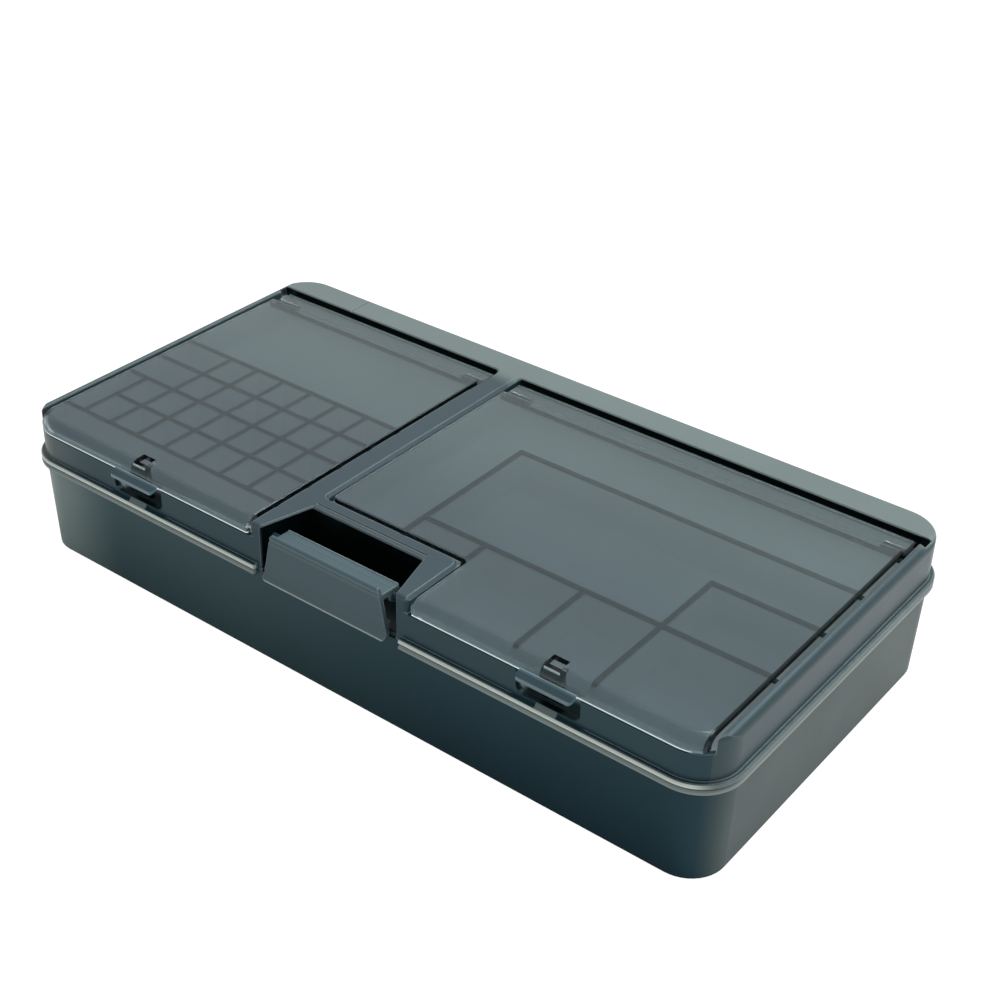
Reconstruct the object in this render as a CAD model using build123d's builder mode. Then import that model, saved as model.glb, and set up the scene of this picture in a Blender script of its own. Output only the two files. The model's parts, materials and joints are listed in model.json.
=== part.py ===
from build123d import *
import os

os.makedirs("parts", exist_ok=True)

# Compartment organizer box. X runs along its length, the front faces -Y and Z is up.
# The origin is the middle of the underside. All sizes are in millimetres.

# Overall form
box_length = 260.0
box_width = 130.0
box_height = 50.0
corner_radius = 12.5
tray_height = 15.8
part_gap = 0.2

# Rim bead, half of it on the bin and half on the tray, left out behind the clasp
bead_out = 1.6
bead_half = 1.75
bead_chamfer = 0.5
bead_break_half = 28.0

# Lower bin
bin_draft = 1.0
bin_wall = 2.0
bin_floor = 2.0
bin_foot_chamfer = 1.2
bin_floor_chamfer = 2.0

# Upper tray
tray_floor = 1.5
side_wall = 3.1
front_wall = 2.0
front_wall_drop = 5.0
top_edge_round = 1.2
side_shoulder_round = 2.6
rim_bevel = 0.4
bar_bevel = 1.0
recess_edge_chamfer = 0.4
bay_corner_round = 1.5
core_wall = 1.6
core_roof = 2.0
locating_lip = 2.0
locating_lip_wall = 1.4
locating_clearance = 0.5
locating_break_half = 30.0

# Centre bar and back rim
bar_left_edge = -30.2
bar_width = 8.6
back_rim = 10.8
rim_dip_width = 4.4
rim_dip_depth = 3.5
rim_dip_skin = 1.0
seam_width = 0.5
seam_depth = 0.5

# Handle recess
recess_block_half = 30.2
recess_block_depth = 24.1
recess_depth = 17.4
recess_half_front = 25.8
recess_half_back = 21.2
recess_floor = 1.7
recess_line_offset = 2.0
recess_line_width = 0.6
recess_line_depth = 0.4
pillar_round = 1.6

# Flip lids
lid_thickness = 1.8
lid_lip_drop = 4.8
lid_front_round = 4.0
lid_side_gap = 1.7
lid_inner_gap = 1.2
lid_back_gap = 1.5
lid_band = 8.9
lid_band_drop = 1.8
lid_edge_chamfer = 0.35
lid_corner_round = 1.5
lid_axis_inset = 17.8
lid_axis_drop = 4.4
lid_knuckle_radius = 2.2
lid_knuckle_length = 8.0
lid_pin_radius = 1.0
lid_pin_end_wall = 0.6

# Lid finger tabs, the windows in front of them and the spring tongues behind
tab_width = 18.3
tab_reach = 3.0
tab_thickness = 1.05
tab_droop = 1.25
tab_root = 0.8
tab_corner_round = 1.2
window_width = 21.0
window_drop = 7.7
window_round = 2.5
catch_width = 7.0
tongue_width = 7.0
tongue_thickness = 1.2
tongue_clearance = 0.3
tongue_length = 7.2
lid_hole_length = 5.2
lid_hole_width = 4.6
lid_hole_setback = 3.8

# Dividers, which stand in shallow grooves of the tray floor
divider_top_gap = 0.3
divider_groove = 0.5
divider_seat_gap = 0.05
divider_slip = 0.1
divider_end_gap = 0.15
row_thickness = 1.2
row_count = 5
row_pitch = 13.7
row_front_channel = 11.8
rows_ahead_of_short_count = 1
cross_thickness = 1.0
cross_pitch = 12.15
cross_bar_offset = 14.6
cross_end_channel = 6.0
short_cross_bay_count = 2
wall_thickness = 1.5
corner_wall_offset = 28.0
corner_wall_gap = 21.8
long_wall_front_offset = 34.0
short_wall_inset = 0.8
front_wall_side_offset = 62.7
angle_wall_side_offset = 37.1
angle_wall_front_offset = 59.6
divider_end_relief = 3.0

# Front clasp, a rocker whose rear pad is pressed to swing its hook off the catch post
latch_half_top = 20.4
latch_half_bottom = 24.0
latch_foot_overlap = 0.8
latch_corner_round = 1.5
latch_pin_radius = 1.0
latch_pin_setback = 4.5
latch_pin_drop = 5.0
latch_pin_grip = 2.9
latch_barrel_radius = 2.1
latch_proud = 1.4
latch_plate = 1.5
latch_foot_flare = 1.1
latch_foot_height = 2.4
latch_foot_edge = 0.6
latch_crest_drop = 0.4
latch_crest_round = 0.6
latch_groove_drop = 1.6
latch_groove_width = 1.0
latch_groove_depth = 0.3
latch_pad_drop = 2.7
latch_pad_length = 6.4
latch_pad_fall = 0.4
latch_pad_thickness = 1.3
latch_pad_lip = 0.6
latch_hook_reach = 1.3
latch_hook_height = 0.7
latch_hook_ramp = 0.9
recess_floor_setback = 0.8

# Catch post on the bin that the clasp hooks under
post_half_width = 13.0
post_side_clearance = 0.8
post_back_clearance = 0.8
post_setback = 1.8
post_thickness = 1.4
post_height = 6.7
post_root = 6.0
post_barb = 1.0
post_barb_height = 1.7
post_barb_edge = 0.5
post_hook_gap = 0.5

# Rear hinge, two stations of three knuckles each
hinge_end_inset = 33.0
hinge_length = 70.0
hinge_bin_knuckle = 15.0
hinge_barrel_radius = 2.6
hinge_pin_radius = 1.1
hinge_wall_gap = 0.3
hinge_end_gap = 0.4
hinge_gusset = 7.0
hinge_leaf = 2.5

# Fit of a pin in the piece that turns on it and in the piece that holds it
pin_clearance = 0.06
pin_hold_clearance = 0.01

# Faces and heights that follow from the sizes above
left_x = -box_length / 2
right_x = box_length / 2
front_y = -box_width / 2
back_y = box_width / 2
part_line = box_height - tray_height
bin_top = part_line - part_gap / 2
tray_bottom = part_line + part_gap / 2
tray_floor_top = tray_bottom + tray_floor
front_wall_top = box_height - front_wall_drop
bay_left = left_x + side_wall
bay_right = right_x - side_wall
bay_front = front_y + front_wall
bay_back = back_y - back_rim
bar_right_edge = bar_left_edge + bar_width
recess_block_back = front_y + recess_block_depth
recess_back = front_y + recess_depth
recess_floor_top = tray_bottom + recess_floor
recess_slope = (recess_half_front - recess_half_back) / recess_depth
lid_underside = box_height - lid_thickness
lid_lip_bottom = box_height - lid_lip_drop
lid_band_top = box_height - lid_band_drop
lid_back = bay_back - lid_back_gap
lid_panel_back = lid_back - lid_band
lid_axis_y = back_y - lid_axis_inset
lid_axis_z = box_height - lid_axis_drop
left_lid_left = bay_left + lid_side_gap
left_lid_right = bar_left_edge - lid_inner_gap
right_lid_left = bar_right_edge + lid_inner_gap
right_lid_right = bay_right - lid_side_gap
lid_notch_right = recess_block_half + lid_inner_gap
lid_notch_back = recess_block_back + lid_inner_gap
tab_place = (lid_notch_right + right_lid_right) / 2
window_bottom = front_wall_top - window_drop
latch_axis_y = front_y + latch_pin_setback
latch_axis_z = box_height - latch_pin_drop
latch_pin_half = recess_half_front - recess_slope * latch_pin_setback + latch_pin_grip
post_front = front_y + post_setback
post_back = post_front + post_thickness
post_top = bin_top + post_height
post_barb_bottom = post_top - post_barb_height
hinge_axis_y = back_y + bead_out + hinge_wall_gap + hinge_barrel_radius
hinge_place = right_x - hinge_end_inset - hinge_length / 2
seam_place = -hinge_place - hinge_length / 2
divider_bottom = tray_floor_top - divider_groove + divider_seat_gap
divider_top = lid_underside - divider_top_gap
divider_lap = (divider_bottom + divider_top) / 2

# Slope of a bevelled edge, in degrees
bevel_angle = 45.0

# How far a cutting shape runs past the face it cuts through
past = 5.0


def outline(grow, mode=Mode.ADD):
    """The box's rounded outline, grown outwards or, below zero, drawn inwards."""
    length = box_length + 2 * grow
    width = box_width + 2 * grow
    return RectangleRounded(length, width, corner_radius + grow, mode=mode)


def span(low_x, high_x, low_y, high_y, mode=Mode.ADD):
    """A plain rectangle between two corners of the current sketch."""
    with Locations(((low_x + high_x) / 2, (low_y + high_y) / 2)):
        return Rectangle(high_x - low_x, high_y - low_y, mode=mode)


def recess_outline():
    """The handle recess in plan, widening towards the front and open there."""
    half_mouth = recess_half_front + recess_slope * past
    mouth = front_y - past
    corners = [
        (-half_mouth, mouth),
        (half_mouth, mouth),
        (recess_half_back, recess_back),
        (-recess_half_back, recess_back),
    ]
    return Polygon(*corners, align=None)


def bead_section(low, high):
    """The rim bead in section, X outwards from the wall face, with its outer corners bevelled."""
    section = span(-bin_wall / 2, bead_out, low, high)
    chamfer(section.vertices().group_by(Axis.X)[-1], bead_chamfer)


def pin_bore(plane, centre, radius, length):
    """Drill both ways along a plane's normal through the current part."""
    with BuildSketch(plane) as bore:
        with Locations(centre):
            Circle(radius)
    extrude(bore.sketch, amount=length, both=True, mode=Mode.SUBTRACT)


# The rim bead's path round the box, from one side of the clasp to the other
bead_corners = [
    (-bead_break_half, front_y),
    (left_x, front_y),
    (left_x, back_y),
    (right_x, back_y),
    (right_x, front_y),
    (bead_break_half, front_y),
]


def bead_plane(height):
    """The upright plane at the start of the bead's path, with X outwards and Y up."""
    return Plane(origin=(-bead_break_half, front_y, height), x_dir=(0, -1, 0), z_dir=(-1, 0, 0))


# Lower bin: a drafted shell with half of the rim bead, the catch post and the rear knuckles
hinge_stations = [-hinge_place, hinge_place]
bin_knuckle_offset = (hinge_length - hinge_bin_knuckle) / 2
tray_knuckle = hinge_length - 2 * hinge_bin_knuckle - 2 * hinge_end_gap

with BuildPart() as base_bin:
    with BuildSketch(Plane.XY):
        outline(-bin_draft)
    with BuildSketch(Plane.XY.offset(bin_top)):
        outline(0)
    loft()
    chamfer(base_bin.faces().sort_by(Axis.Z)[0].edges(), bin_foot_chamfer)
    with BuildLine(Plane.XY.offset(bin_top)):
        FilletPolyline(*bead_corners, radius=corner_radius)
    with BuildSketch(bead_plane(bin_top)):
        bead_section(-bead_half, 0)
    sweep()
    with BuildSketch(Plane.XY.offset(bin_floor)):
        outline(-bin_wall - bin_draft * (1 - bin_floor / bin_top))
    with BuildSketch(Plane.XY.offset(bin_top)):
        outline(-bin_wall)
    loft(mode=Mode.SUBTRACT)
    chamfer(base_bin.faces().filter_by(Axis.Z).sort_by(Axis.Z)[1].edges(), bin_floor_chamfer)
    with BuildSketch(Plane.YZ):
        Polygon(
            (front_y + bin_wall / 2, bin_top - post_root),
            (post_back, bin_top - post_root + post_thickness),
            (post_back, post_top),
            (post_front, post_top),
            (post_front - post_barb, post_barb_bottom + post_barb_edge),
            (post_front - post_barb, post_barb_bottom),
            (post_front, post_barb_bottom),
            (post_front, bin_top),
            (front_y + bin_wall / 2, bin_top),
            align=None,
        )
    extrude(amount=post_half_width, both=True)
    for station in hinge_stations:
        for offset in (-bin_knuckle_offset, bin_knuckle_offset):
            with BuildSketch(Plane.YZ.offset(station + offset)):
                Polygon(
                    (back_y - bin_wall / 2, bin_top),
                    (hinge_axis_y, bin_top),
                    (hinge_axis_y + hinge_barrel_radius / 2, part_line - hinge_barrel_radius / 2),
                    (hinge_axis_y, part_line - hinge_barrel_radius),
                    (back_y - bin_wall / 2, bin_top - hinge_gusset),
                    align=None,
                )
                with Locations((hinge_axis_y, part_line)):
                    Circle(hinge_barrel_radius)
            extrude(amount=hinge_bin_knuckle / 2, both=True)
        bore_plane = Plane.YZ.offset(station)
        pin_bore(bore_plane, (hinge_axis_y, part_line), hinge_pin_radius + pin_hold_clearance, hinge_length)
base_bin.part.label = "base_bin"
export_step(base_bin.part, "parts/base_bin.step")


# Divider places and reaches, used by the grooves in the tray floor and by the dividers themselves
cross_count = 1 + int((bar_left_edge - bay_left - cross_bar_offset - cross_end_channel) / cross_pitch)
row_places = [bay_front + row_front_channel + step * row_pitch for step in range(row_count)]
cross_places = [bar_left_edge - cross_bar_offset - step * cross_pitch for step in range(cross_count)]
corner_wall_x = bar_right_edge + corner_wall_offset
long_wall_y = bay_front + long_wall_front_offset
short_wall_x = recess_block_half - short_wall_inset
front_wall_x = bay_right - front_wall_side_offset
angle_wall_x = bay_right - angle_wall_side_offset
angle_wall_y = bay_front + angle_wall_front_offset
corner_wall_y = angle_wall_y + corner_wall_gap


def row_reach(step):
    """Where a row divider starts and ends along X."""
    start = bay_left
    if step == rows_ahead_of_short_count:
        start = cross_places[-1] + cross_thickness / 2
    return start + divider_end_gap, bar_left_edge - divider_end_gap


def cross_reach(step):
    """Where a cross divider starts and ends along Y, between two row dividers."""
    last = row_count - 1
    if step == cross_count - 1:
        last = short_cross_bay_count
    start = row_places[0] + row_thickness / 2
    end = row_places[last] - row_thickness / 2
    return start + divider_end_gap, end - divider_end_gap


def divider_plan(grow):
    """Every divider in plan, on the current sketch, each side grown by the given margin."""
    half_row = row_thickness / 2 + grow
    half_cross = cross_thickness / 2 + grow
    for step, place in enumerate(row_places):
        low, high = row_reach(step)
        span(low - grow, high + grow, place - half_row, place + half_row)
    for step, place in enumerate(cross_places):
        low, high = cross_reach(step)
        span(place - half_cross, place + half_cross, low - grow, high + grow)
    corner_plan(grow)
    angle_plan(grow)
    long_plan(grow)
    short_plan(grow)
    front_plan(grow)


def corner_plan(grow):
    """The bent divider behind the recess in plan."""
    half = wall_thickness / 2 + grow
    start = recess_block_back + divider_end_gap - grow
    end = bay_right - divider_end_gap + grow
    span(corner_wall_x - half, corner_wall_x + half, start, corner_wall_y + half)
    span(corner_wall_x - half, end, corner_wall_y - half, corner_wall_y + half)


def angle_plan(grow):
    """The bent divider at the right in plan."""
    half = wall_thickness / 2 + grow
    start = bay_front + divider_end_gap - grow
    end = bay_right - divider_end_gap + grow
    span(angle_wall_x - half, angle_wall_x + half, start, angle_wall_y + half)
    span(angle_wall_x - half, end, angle_wall_y - half, angle_wall_y + half)


def long_plan(grow):
    """The long divider, from the bent one behind the recess to the right wall, in plan."""
    half = wall_thickness / 2 + grow
    start = corner_wall_x + wall_thickness / 2 + divider_end_gap - grow
    end = bay_right - divider_end_gap + grow
    span(start, end, long_wall_y - half, long_wall_y + half)


def short_plan(grow):
    """The short divider between the recess block and the long divider in plan."""
    half = wall_thickness / 2 + grow
    start = recess_block_back + divider_end_gap - grow
    end = long_wall_y - wall_thickness / 2 - divider_end_gap + grow
    span(short_wall_x - half, short_wall_x + half, start, end)


def front_plan(grow):
    """The divider between the front wall and the long divider in plan."""
    half = wall_thickness / 2 + grow
    start = bay_front + divider_end_gap - grow
    end = long_wall_y - wall_thickness / 2 - divider_end_gap + grow
    span(front_wall_x - half, front_wall_x + half, start, end)


# Upper tray: floor, walls, back rim, centre bar, handle recess and clasp pillars in one moulding
with BuildPart() as upper_tray:
    with BuildSketch(Plane.XY.offset(tray_bottom)):
        outline(0)
    extrude(amount=box_height - tray_bottom)
    fillet(upper_tray.faces().sort_by(Axis.Z)[-1].edges(), top_edge_round)
    with BuildSketch(Plane.XZ):
        side = span(left_x, right_x, 0, box_height)
        fillet(side.vertices().group_by(Axis.Y)[-1], side_shoulder_round)
    extrude(amount=box_width, both=True, mode=Mode.INTERSECT)
    with BuildLine(Plane.XY.offset(tray_bottom)):
        FilletPolyline(*bead_corners, radius=corner_radius)
    with BuildSketch(bead_plane(tray_bottom)):
        bead_section(0, bead_half)
    sweep()
    # The two bays, with the box's own corner at the front outside
    with BuildSketch(Plane.XY.offset(tray_floor_top)) as bays:
        span(bay_left, bar_left_edge, bay_front, bay_back)
        span(bar_right_edge, bay_right, recess_block_back, bay_back)
        span(recess_block_half, bay_right, bay_front, bay_back)
        inner_corners = bays.vertices().filter_by(lambda corner: abs(corner.X) < bay_right - past)
        fillet(inner_corners, bay_corner_round)
        outer_corners = bays.vertices().filter_by(lambda corner: abs(corner.X) > bay_right - past)
        fillet(outer_corners.group_by(Axis.Y)[0], corner_radius - side_wall)
    extrude(amount=box_height, mode=Mode.SUBTRACT)
    # Front wall lowered under the lids, up to the rounded pillars beside the recess
    with BuildSketch(Plane.XY.offset(front_wall_top)):
        span(bay_left, bay_right, front_y - past, bay_front + corner_radius)
        with Locations((0, front_y + recess_block_depth)):
            block_size = (2 * recess_block_half, 2 * recess_block_depth)
            RectangleRounded(*block_size, pillar_round, mode=Mode.SUBTRACT)
    extrude(amount=box_height, mode=Mode.SUBTRACT)
    # Handle recess, open at the front, with its floor set back behind the clasp
    with BuildSketch(Plane.XY.offset(recess_floor_top)):
        recess_outline()
    extrude(amount=box_height, mode=Mode.SUBTRACT)
    top_edges = upper_tray.edges().group_by(Axis.Z)[-1]
    recess_edges = top_edges.filter_by(
        lambda edge: abs(edge.center().X) < recess_half_front
        and front_y + top_edge_round < edge.center().Y < recess_back + core_wall
    )
    chamfer(recess_edges, recess_edge_chamfer)
    # Bevelled mouths of the bays, wide along the bar and the recess block, narrow along the rims
    mouth_front = front_y - past
    mouth_back = bay_back + rim_bevel
    mouth_right = bay_right + rim_bevel
    with BuildSketch(Plane.XY.offset(box_height)) as mouths:
        span(bay_left - rim_bevel, bar_left_edge + bar_bevel, mouth_front, mouth_back)
        span(bar_right_edge - bar_bevel, mouth_right, recess_block_back - bar_bevel, mouth_back)
        span(recess_block_half - bar_bevel, mouth_right, mouth_front, mouth_back)
        fillet(mouths.vertices(), bay_corner_round + bar_bevel)
    extrude(amount=-bar_bevel, taper=bevel_angle, mode=Mode.SUBTRACT)
    with BuildSketch(Plane.XY.offset(tray_bottom)):
        span(-recess_half_front, recess_half_front, front_y - past, front_y + recess_floor_setback)
        post_slot = post_half_width + post_side_clearance
        span(-post_slot, post_slot, front_y - past, post_back + post_back_clearance)
    extrude(amount=recess_floor, mode=Mode.SUBTRACT)
    # Windows in front of the lid tongues, each with a catch ramp below it that ends on the bead
    with BuildSketch(Plane.XZ.offset(-bay_front)):
        for place in (-tab_place, tab_place):
            window = span(place - window_width / 2, place + window_width / 2, window_bottom, box_height)
            fillet(window.vertices().group_by(Axis.Y)[0], window_round)
    extrude(amount=front_wall + past, mode=Mode.SUBTRACT)
    bead_top = tray_bottom + bead_half
    wall_middle = front_y + front_wall / 2
    for place in (-tab_place, tab_place):
        with BuildSketch(Plane.YZ.offset(place)):
            Polygon(
                (wall_middle, window_bottom),
                (front_y, window_bottom),
                (front_y - bead_out + bead_chamfer, bead_top),
                (wall_middle, bead_top),
                align=None,
            )
        extrude(amount=catch_width / 2, both=True)
    # Side walls dipped inside their outer skin, where the hinge trough of the lids runs out
    with BuildSketch(Plane.XY.offset(box_height - rim_dip_depth)):
        span(left_x + rim_dip_skin, bay_left, bay_back - rim_dip_width, bay_back)
        span(bay_right, right_x - rim_dip_skin, bay_back - rim_dip_width, bay_back)
    extrude(amount=box_height, mode=Mode.SUBTRACT)
    # Bar, back rim and the wall behind the recess cored from below
    with BuildSketch(Plane.XY.offset(tray_bottom)):
        core_back = bay_back + core_wall
        span(bay_left + core_wall, bay_right - core_wall, core_back, back_y - bin_wall)
        span(bar_left_edge + core_wall, bar_right_edge - core_wall, recess_block_back, core_back)
        core_half = recess_block_half - core_wall
        span(-core_half, core_half, recess_back + core_wall, recess_block_back - core_wall)
    extrude(amount=box_height - core_roof - tray_bottom, mode=Mode.SUBTRACT)
    # Locating lip that drops into the bin, left out behind the clasp
    with BuildSketch(Plane.XY.offset(tray_bottom)):
        outline(-bin_wall - locating_clearance)
        outline(-bin_wall - locating_clearance - locating_lip_wall, mode=Mode.SUBTRACT)
        span(
            -locating_break_half,
            locating_break_half,
            front_y,
            front_y + corner_radius,
            mode=Mode.SUBTRACT,
        )
    extrude(amount=-locating_lip)
    # Grooves for the dividers
    with BuildSketch(Plane.XY.offset(tray_floor_top)):
        divider_plan(divider_slip / 2)
    extrude(amount=-divider_groove, mode=Mode.SUBTRACT)
    # Moulded lines on the top: a seam across the back rim and a line behind the recess
    with BuildSketch(Plane.XY.offset(box_height)):
        span(seam_place - seam_width / 2, seam_place + seam_width / 2, bay_back - past, back_y + past)
    extrude(amount=-seam_depth, mode=Mode.SUBTRACT)
    with BuildSketch(Plane.XY.offset(box_height)):
        line_front = recess_back + recess_line_offset
        span(-recess_half_back, recess_half_back, line_front, line_front + recess_line_width)
    extrude(amount=-recess_line_depth, mode=Mode.SUBTRACT)
    # Rear knuckles with their leaves, and all the bores
    for station in hinge_stations:
        with BuildSketch(Plane.YZ.offset(station)):
            span(back_y - bin_wall / 2, hinge_axis_y, tray_bottom, tray_bottom + hinge_leaf)
            with Locations((hinge_axis_y, part_line)):
                Circle(hinge_barrel_radius)
        extrude(amount=tray_knuckle / 2, both=True)
        bore_plane = Plane.YZ.offset(station)
        pin_bore(bore_plane, (hinge_axis_y, part_line), hinge_pin_radius + pin_clearance, hinge_length)
    lid_bore = lid_pin_radius + pin_hold_clearance
    pin_bore(Plane.YZ, (lid_axis_y, lid_axis_z), lid_bore, right_x - lid_pin_end_wall)
    latch_bore = latch_pin_radius + pin_hold_clearance
    pin_bore(Plane.YZ, (latch_axis_y, latch_axis_z), latch_bore, latch_pin_half)
upper_tray.part.label = "upper_tray"
export_step(upper_tray.part, "parts/upper_tray.step")


# Blank that both lids are cut from: the box's outline with a rounded edge, hollow underneath
with BuildPart() as lid_hollow:
    with BuildSketch(Plane.XY.offset(lid_underside)):
        outline(-lid_thickness)
    extrude(amount=-box_height)
    fillet(lid_hollow.faces().sort_by(Axis.Z)[-1].edges(), lid_front_round - lid_thickness)

with BuildPart() as lid_blank:
    with BuildSketch(Plane.XY.offset(lid_lip_bottom)):
        outline(0)
    extrude(amount=lid_lip_drop)
    fillet(lid_blank.faces().sort_by(Axis.Z)[-1].edges(), lid_front_round)
    add(lid_hollow.part, mode=Mode.SUBTRACT)


def crisp(edge):
    """True for a top edge of a lid that isn't the start of its rounded front."""
    if edge.geom_type == GeomType.CIRCLE:
        return edge.radius < lid_front_round
    return edge.center().Y > front_y + lid_front_round + lid_edge_chamfer


def add_lid_details(low_x, high_x, tab_x):
    """Hinge band, finger tab, spring tongue and bored knuckles of a lid, on the current part."""
    with BuildSketch(Plane.YZ.offset(low_x)) as band:
        span(lid_panel_back - lid_thickness, lid_back, lid_band_top - lid_thickness, lid_band_top)
    extrude(band.sketch, amount=high_x - low_x)
    lip_middle = front_y + lid_thickness / 2
    tab_tip = front_y - tab_reach
    tab_underside = lid_lip_bottom - tab_droop
    with BuildSketch(Plane.YZ.offset(tab_x)) as tab:
        Polygon(
            (lip_middle, lid_lip_bottom),
            (tab_tip, tab_underside),
            (tab_tip, tab_underside + tab_thickness),
            (front_y, lid_lip_bottom + tab_root),
            (lip_middle, lid_lip_bottom + tab_root),
            align=None,
        )
    extrude(tab.sketch, amount=tab_width / 2, both=True)
    tongue_front = bay_front + tongue_clearance
    with BuildSketch(Plane.YZ.offset(tab_x)) as tongue:
        span(
            tongue_front, tongue_front + tongue_thickness, lid_lip_bottom - tongue_length, lid_underside
        )
    extrude(tongue.sketch, amount=tongue_width / 2, both=True)
    with BuildSketch(Plane.XY.offset(lid_underside)) as hole:
        with Locations((tab_x, front_y + lid_hole_setback)):
            Rectangle(lid_hole_length, lid_hole_width)
    extrude(hole.sketch, amount=lid_thickness, mode=Mode.SUBTRACT)
    for start in (low_x, high_x - lid_knuckle_length):
        with BuildSketch(Plane.YZ.offset(start)) as knuckle:
            with Locations((lid_axis_y, lid_axis_z)):
                Circle(lid_knuckle_radius)
        extrude(knuckle.sketch, amount=lid_knuckle_length)
        with BuildSketch(Plane.YZ.offset(start)) as bore:
            with Locations((lid_axis_y, lid_axis_z)):
                Circle(lid_pin_radius + pin_clearance)
        extrude(bore.sketch, amount=lid_knuckle_length, mode=Mode.SUBTRACT)


# Left lid
with BuildPart() as left_lid:
    add(lid_blank.part)
    with BuildSketch(Plane.XY):
        span(left_lid_left, left_lid_right, front_y - past, lid_panel_back)
    extrude(amount=box_height, mode=Mode.INTERSECT)
    chamfer(left_lid.faces().sort_by(Axis.Z)[-1].edges().filter_by(crisp), lid_edge_chamfer)
    add_lid_details(left_lid_left, left_lid_right, -tab_place)
    tab_corners = left_lid.edges().filter_by(Axis.Z).group_by(Axis.Y)[0]
    fillet(tab_corners, tab_corner_round)
left_lid.part.label = "left_lid"
export_step(left_lid.part, "parts/left_lid.step")

# Right lid, notched round the recess block
with BuildPart() as right_lid:
    add(lid_blank.part)
    with BuildSketch(Plane.XY) as lid_area:
        span(right_lid_left, right_lid_right, lid_notch_back, lid_panel_back)
        span(lid_notch_right, right_lid_right, front_y - past, lid_panel_back)
        notch_corners = lid_area.vertices().filter_by(
            lambda corner: abs(corner.Y - lid_notch_back) < lid_inner_gap
        )
        fillet(notch_corners, lid_corner_round)
    extrude(amount=box_height, mode=Mode.INTERSECT)
    chamfer(right_lid.faces().sort_by(Axis.Z)[-1].edges().filter_by(crisp), lid_edge_chamfer)
    add_lid_details(right_lid_left, right_lid_right, tab_place)
    tab_corners = right_lid.edges().filter_by(Axis.Z).group_by(Axis.Y)[0]
    fillet(tab_corners, tab_corner_round)
right_lid.part.label = "right_lid"
export_step(right_lid.part, "parts/right_lid.step")

# Front clasp: one section along the box, trimmed to a shape that widens downwards
latch_bottom = bin_top - latch_foot_overlap
latch_face = front_y - latch_proud
latch_inner = latch_face + latch_plate
latch_foot_face = latch_face - latch_foot_flare
latch_crest = box_height - latch_crest_drop
latch_groove_top = box_height - latch_groove_drop
latch_groove_floor = latch_face + latch_groove_depth
latch_pad_top = box_height - latch_pad_drop
latch_pad_end = latch_inner + latch_pad_length
latch_pad_bottom = latch_pad_top - latch_pad_fall - latch_pad_thickness
latch_hook_top = post_barb_bottom - post_hook_gap
latch_hook_bottom = latch_hook_top - latch_hook_height

with BuildPart() as front_latch:
    with BuildSketch(Plane.YZ) as latch_section:
        Polygon(
            (latch_foot_face, latch_bottom),
            (latch_foot_face, latch_bottom + latch_foot_edge),
            (latch_face, latch_bottom + latch_foot_height),
            (latch_face, latch_groove_top - latch_groove_width),
            (latch_groove_floor, latch_groove_top - latch_groove_width + latch_groove_depth),
            (latch_groove_floor, latch_groove_top - latch_groove_depth),
            (latch_face, latch_groove_top),
            (latch_face, latch_crest),
            (latch_inner, latch_crest),
            (latch_inner, latch_pad_top),
            (latch_pad_end, latch_pad_top - latch_pad_fall),
            (latch_pad_end + latch_pad_lip, latch_pad_top),
            (latch_pad_end + latch_pad_lip, latch_pad_bottom),
            (latch_inner, latch_pad_bottom),
            (latch_inner, latch_hook_top),
            (latch_inner + latch_hook_reach, latch_hook_top),
            (latch_inner + latch_hook_reach, latch_hook_bottom),
            (latch_inner, latch_hook_bottom - latch_hook_ramp),
            (latch_inner, latch_bottom + latch_foot_height - latch_foot_edge),
            (latch_foot_face + latch_plate, latch_bottom),
            align=None,
        )
        fillet(latch_section.vertices().group_by(Axis.Y)[-1], latch_crest_round)
        with Locations((latch_axis_y, latch_axis_z)):
            Circle(latch_barrel_radius)
            Circle(latch_pin_radius + pin_clearance, mode=Mode.SUBTRACT)
    extrude(amount=latch_half_bottom, both=True)
    with BuildSketch(Plane.XZ) as latch_front:
        Polygon(
            (-latch_half_bottom, latch_bottom),
            (latch_half_bottom, latch_bottom),
            (latch_half_top, box_height),
            (-latch_half_top, box_height),
            align=None,
        )
        fillet(latch_front.vertices(), latch_corner_round)
    extrude(amount=box_width, both=True, mode=Mode.INTERSECT)
front_latch.part.label = "front_latch"
export_step(front_latch.part, "parts/front_latch.step")

# Row dividers, slotted from the top where the cross dividers pass
lapped_rows = range(1, row_count - 1)
slot_half_cross = (cross_thickness + divider_slip) / 2
slot_half_row = (row_thickness + divider_slip) / 2
slot_half_wall = (wall_thickness + divider_slip) / 2

for step, place in enumerate(row_places):
    low, high = row_reach(step)
    with BuildPart() as row_divider:
        with BuildSketch(Plane.XZ.offset(-place)):
            span(low, high, divider_bottom, divider_top)
            if step in lapped_rows:
                for crossing in cross_places[:-1]:
                    slot_bottom = divider_lap - divider_slip / 2
                    slot_ends = (crossing - slot_half_cross, crossing + slot_half_cross)
                    span(*slot_ends, slot_bottom, divider_top, mode=Mode.SUBTRACT)
        extrude(amount=row_thickness / 2, both=True)
    row_name = f"row_divider_{step + 1}"
    row_divider.part.label = row_name
    export_step(row_divider.part, f"parts/{row_name}.step")

# Cross dividers, slotted from below to sit over the rows
for step, place in enumerate(cross_places):
    low, high = cross_reach(step)
    with BuildPart() as cross_divider:
        with BuildSketch(Plane.YZ.offset(place)):
            span(low, high, divider_bottom, divider_top)
            if step < cross_count - 1:
                for row in lapped_rows:
                    slot_top = divider_lap + divider_slip / 2
                    slot_ends = (row_places[row] - slot_half_row, row_places[row] + slot_half_row)
                    span(*slot_ends, divider_bottom, slot_top, mode=Mode.SUBTRACT)
        extrude(amount=cross_thickness / 2, both=True)
    cross_name = f"cross_divider_{step + 1}"
    cross_divider.part.label = cross_name
    export_step(cross_divider.part, f"parts/{cross_name}.step")

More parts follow.
